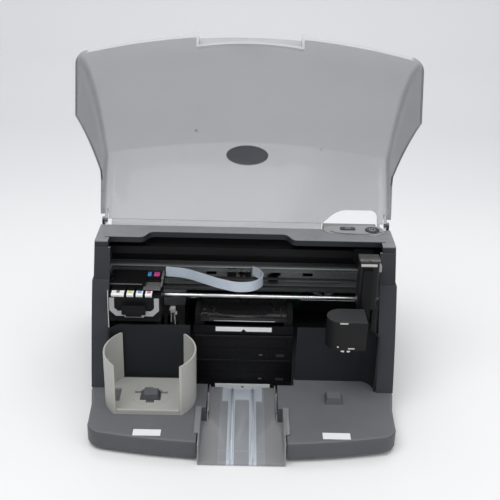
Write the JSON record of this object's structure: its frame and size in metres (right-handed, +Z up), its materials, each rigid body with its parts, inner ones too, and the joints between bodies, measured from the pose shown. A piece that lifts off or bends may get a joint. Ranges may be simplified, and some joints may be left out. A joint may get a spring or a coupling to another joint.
{
  "type": "disc label printer",
  "caption": "Desktop disc label printer with an input bin, two disc drives, a print carriage, a picking arm, an output chute and a smoked hinged lid.",
  "frame": {"origin": "on the table, below the middle of the machine's bounding box", "axes": "+Z up, +X to the right seen from the front, the front faces -Y; the lid stands open at rest"},
  "size_m": [0.446, 0.4332, 0.5492],
  "materials": {
    "feet": "matt black rubber",
    "base_pan": "grey moulding",
    "base_tray": "fine-textured mid grey moulding",
    "side_shell_left": "fine-textured dark grey moulding",
    "side_shell_right": "fine-textured dark grey moulding",
    "top_cover": "fine-textured grey moulding",
    "rear_cover": "fine-textured grey moulding",
    "bay_liner_left": "dark textured moulding",
    "bay_liner_right": "dark textured moulding",
    "control_panel": "satin light grey",
    "menu_button": "satin silver grey",
    "power_button": "satin silver grey",
    "lid": "smoked clear plastic, polished",
    "lid_badge": "plain dark oval, bare",
    "hinge_pins": "ground steel",
    "drive_cage": "grey painted sheet steel",
    "marker_strips": "white label stock",
    "lower_bar": "blue-grey satin",
    "lower_drive_case": "plain sheet steel",
    "lower_drive_bezel": "black moulding",
    "lower_drive_tray": "black moulding",
    "lower_eject_button": "black moulding",
    "upper_drive_case": "plain sheet steel",
    "upper_drive_bezel": "black moulding",
    "upper_drive_tray": "black moulding",
    "upper_eject_button": "black moulding",
    "output_chute": "smoked clear plastic",
    "input_bin": "light warm grey moulding",
    "bay_labels": "white label stock, bare",
    "rail_frame": "grey painted sheet steel",
    "guide_rod": "ground steel",
    "encoder_strip": "clear film",
    "carriage_body": "black moulding",
    "black_cartridge": "black ink tank",
    "yellow_cartridge": "yellow ink tank",
    "cyan_cartridge": "cyan ink tank",
    "magenta_cartridge": "magenta ink tank",
    "carriage_cover": "black moulding",
    "carriage_latch": "grey moulding",
    "ribbon_cable": "pale blue-grey flat cable",
    "carriage_belt": "toothed black belt",
    "drive_pulley": "turned brass",
    "carriage_motor": "black motor can",
    "service_station": "black moulding",
    "tray_guides": "black moulding",
    "print_tray": "black moulding",
    "arm_rail": "black anodised aluminium",
    "arm_carriage": "black moulding",
    "arm_column": "black moulding",
    "column_cap": "speckled black moulding",
    "lift_screw": "ground steel",
    "lift_slider": "black moulding",
    "gripper_body": "black moulding",
    "gripper_finger_left": "formed steel",
    "gripper_finger_right": "formed steel",
    "main_board": "green circuit board",
    "power_supply": "plated steel case",
    "fan_frame": "black moulding",
    "fan_rotor": "black moulding",
    "cover_screws": "plated steel"
  },
  "bodies": {
    "housing": {"feet": "feet", "base_pan": "base_pan", "base_tray": "base_tray", "side_shell_left": "side_shell_left", "side_shell_right": "side_shell_right", "top_cover": "top_cover", "rear_cover": "rear_cover", "bay_liner_left": "bay_liner_left", "bay_liner_right": "bay_liner_right", "control_panel": "control_panel", "hinge_pins": "hinge_pins", "drive_cage": "drive_cage", "marker_strips": "marker_strips", "lower_bar": "lower_bar", "lower_drive_case": "lower_drive_case", "lower_drive_bezel": "lower_drive_bezel", "upper_drive_case": "upper_drive_case", "upper_drive_bezel": "upper_drive_bezel", "output_chute": "output_chute", "bay_labels": "bay_labels", "rail_frame": "rail_frame", "guide_rod": "guide_rod", "encoder_strip": "encoder_strip", "ribbon_cable": "ribbon_cable", "carriage_belt": "carriage_belt", "carriage_motor": "carriage_motor", "service_station": "service_station", "tray_guides": "tray_guides", "arm_rail": "arm_rail", "main_board": "main_board", "power_supply": "power_supply", "fan_frame": "fan_frame", "cover_screws": "cover_screws"},
    "lid": {"lid": "lid", "lid_badge": "lid_badge"},
    "menu_key": {"menu_button": "menu_button"},
    "power_key": {"power_button": "power_button"},
    "lower_eject": {"lower_eject_button": "lower_eject_button"},
    "upper_eject": {"upper_eject_button": "upper_eject_button"},
    "lower_tray": {"lower_drive_tray": "lower_drive_tray"},
    "upper_tray": {"upper_drive_tray": "upper_drive_tray"},
    "label_tray": {"print_tray": "print_tray"},
    "bin": {"input_bin": "input_bin"},
    "carriage": {"carriage_body": "carriage_body", "carriage_cover": "carriage_cover", "black_cartridge": "black_cartridge", "yellow_cartridge": "yellow_cartridge", "cyan_cartridge": "cyan_cartridge", "magenta_cartridge": "magenta_cartridge"},
    "latch": {"carriage_latch": "carriage_latch"},
    "pulley": {"drive_pulley": "drive_pulley"},
    "arm": {"arm_carriage": "arm_carriage", "arm_column": "arm_column", "column_cap": "column_cap"},
    "screw": {"lift_screw": "lift_screw"},
    "lift": {"lift_slider": "lift_slider", "gripper_body": "gripper_body"},
    "finger_left": {"gripper_finger_left": "gripper_finger_left"},
    "finger_right": {"gripper_finger_right": "gripper_finger_right"},
    "fan": {"fan_rotor": "fan_rotor"}
  },
  "joints": [
    {"name": "lid_hinge", "type": "hinge", "parent": "housing", "child": "lid", "pos_m": [0, 0.065, 0.24], "axis": [1, 0, 0], "range_deg": [0, 108]},
    {"name": "menu_press", "type": "slide", "parent": "housing", "child": "menu_key", "axis": [0, 0, -1], "range_m": [0, 0.0012], "stiffness_N_per_m": 400},
    {"name": "power_press", "type": "slide", "parent": "housing", "child": "power_key", "axis": [0, 0, -1], "range_m": [0, 0.0012], "stiffness_N_per_m": 400},
    {"name": "lower_eject_press", "type": "slide", "parent": "housing", "child": "lower_eject", "axis": [0, 1, 0], "range_m": [0, 0.0008], "stiffness_N_per_m": 400},
    {"name": "upper_eject_press", "type": "slide", "parent": "housing", "child": "upper_eject", "axis": [0, 1, 0], "range_m": [0, 0.0008], "stiffness_N_per_m": 400},
    {"name": "lower_tray_slide", "type": "slide", "parent": "housing", "child": "lower_tray", "axis": [0, 1, 0], "range_m": [-0.137, 0]},
    {"name": "upper_tray_slide", "type": "slide", "parent": "housing", "child": "upper_tray", "axis": [0, 1, 0], "range_m": [-0.137, 0]},
    {"name": "label_tray_slide", "type": "slide", "parent": "housing", "child": "label_tray", "axis": [0, 1, 0], "range_m": [-0.137, 0]},
    {"name": "bin_lift_out", "type": "slide", "parent": "housing", "child": "bin", "axis": [0, 0, -1], "range_m": [-0.05, 0]},
    {"name": "carriage_slide", "type": "slide", "parent": "housing", "child": "carriage", "axis": [1, 0, 0], "range_m": [0, 0.25], "deforming": ["ribbon_cable"]},
    {"name": "latch_hinge", "type": "hinge", "parent": "carriage", "child": "latch", "pos_m": [-0.16, -0.0503, 0.166], "axis": [-1, 0, 0], "range_deg": [0, 35]},
    {"name": "pulley_spin", "type": "hinge", "parent": "housing", "child": "pulley", "pos_m": [-0.185, 0.0275, 0.157], "axis": [0, 1, 0], "continuous": true},
    {"name": "arm_slide", "type": "slide", "parent": "housing", "child": "arm", "axis": [-1, 0, 0], "range_m": [0, 0.278]},
    {"name": "lift_slide", "type": "slide", "parent": "arm", "child": "lift", "axis": [0, 0, -1], "range_m": [0, 0.07]},
    {"name": "screw_spin", "type": "hinge", "parent": "arm", "child": "screw", "pos_m": [0.177, -0.044, 0.2], "axis": [0, 0, 1], "continuous": true},
    {"name": "finger_left_slide", "type": "slide", "parent": "lift", "child": "finger_left", "axis": [-1, 0, 0], "range_m": [0, 0.0012]},
    {"name": "finger_right_slide", "type": "slide", "parent": "lift", "child": "finger_right", "axis": [1, 0, 0], "range_m": [0, 0.0012]},
    {"name": "fan_spin", "type": "hinge", "parent": "housing", "child": "fan", "pos_m": [0.14, 0.205, 0.075], "axis": [0, 1, 0], "continuous": true}
  ],
  "couplings": [
    {"joint": "pulley_spin", "follows": "carriage_slide", "rad_per_m": 158.73},
    {"joint": "screw_spin", "follows": "lift_slide", "rad_per_m": 314.16},
    {"joint": "finger_right_slide", "follows": "finger_left_slide", "ratio": 1}
  ]
}
